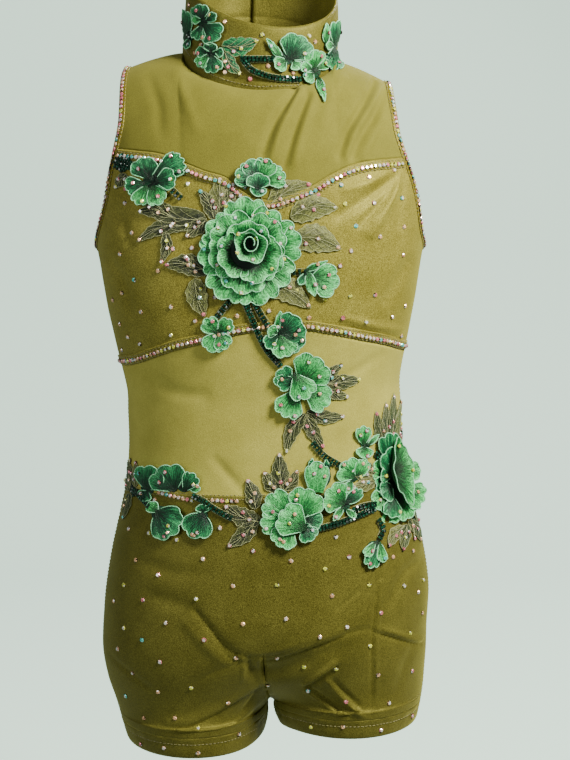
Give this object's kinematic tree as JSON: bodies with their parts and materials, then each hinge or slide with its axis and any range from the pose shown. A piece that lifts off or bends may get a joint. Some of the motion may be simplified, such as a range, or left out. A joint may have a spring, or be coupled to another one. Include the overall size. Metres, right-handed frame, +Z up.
{
  "type": "dance unitard",
  "caption": "Short sleeveless dance unitard with a stand collar, sheer mesh yoke and midriff, satin bust and shorts, and raised embroidered flowers.",
  "frame": {"origin": "midway between the two shoulder seams, where the garment is held", "axes": "+Z up, -Y towards the front of the garment, +X to the right of a viewer who faces it"},
  "size_m": [0.2564, 0.1996, 0.6171],
  "materials": {
    "satin": "satin spandex",
    "mesh": "fine matte stretch mesh",
    "trim": "satin binding",
    "petal": "embroidered thread",
    "leaf": "embroidered lace",
    "beads": "strung glass beads"
  },
  "bodies": {
    "root": {"armhole_left": "trim", "armhole_right": "trim", "bud_band": "petal", "bud_chest_side": "petal", "bud_collar_left": "petal", "bud_collar_right": "petal", "bud_collar_side": "petal", "bud_drop": "petal", "bud_low": "petal", "bud_right": "petal", "bud_small": "petal", "bud_top": "petal", "bud_waist": "petal", "bust_back": "satin", "bust_front": "satin", "collar": "satin", "flower_chest": "petal", "flower_collar_left": "petal", "flower_collar_right": "petal", "flower_midriff": "petal", "flower_waist": "petal", "flower_waist_side": "petal", "hem_left": "satin", "hem_right": "satin", "leaves_below": "leaf", "leaves_chest_left": "leaf", "leaves_chest_right": "leaf", "leaves_chest_top": "leaf", "leaves_drop": "leaf", "leaves_hip": "leaf", "leaves_midriff": "leaf", "leaves_waist": "leaf", "midriff_back": "mesh", "midriff_front": "mesh", "petal_collar": "petal", "petal_left_a": "petal", "petal_left_b": "petal", "petal_left_c": "petal", "petal_left_d": "petal", "petal_waist": "petal", "rose_chest": "petal", "rose_hip": "petal", "shorts_back": "satin", "shorts_front": "satin", "stem_bud_low": "beads", "stem_collar": "beads", "stem_drop": "beads", "stem_left": "beads", "stem_left_right": "beads", "stem_midriff": "beads", "stem_rose": "beads", "stem_rose_right": "beads", "stem_waist": "beads", "sweetheart_trim": "trim", "underbust_trim": "trim", "yoke_back_left": "mesh", "yoke_back_right": "mesh", "yoke_front": "mesh"}
  },
  "joints": []
}
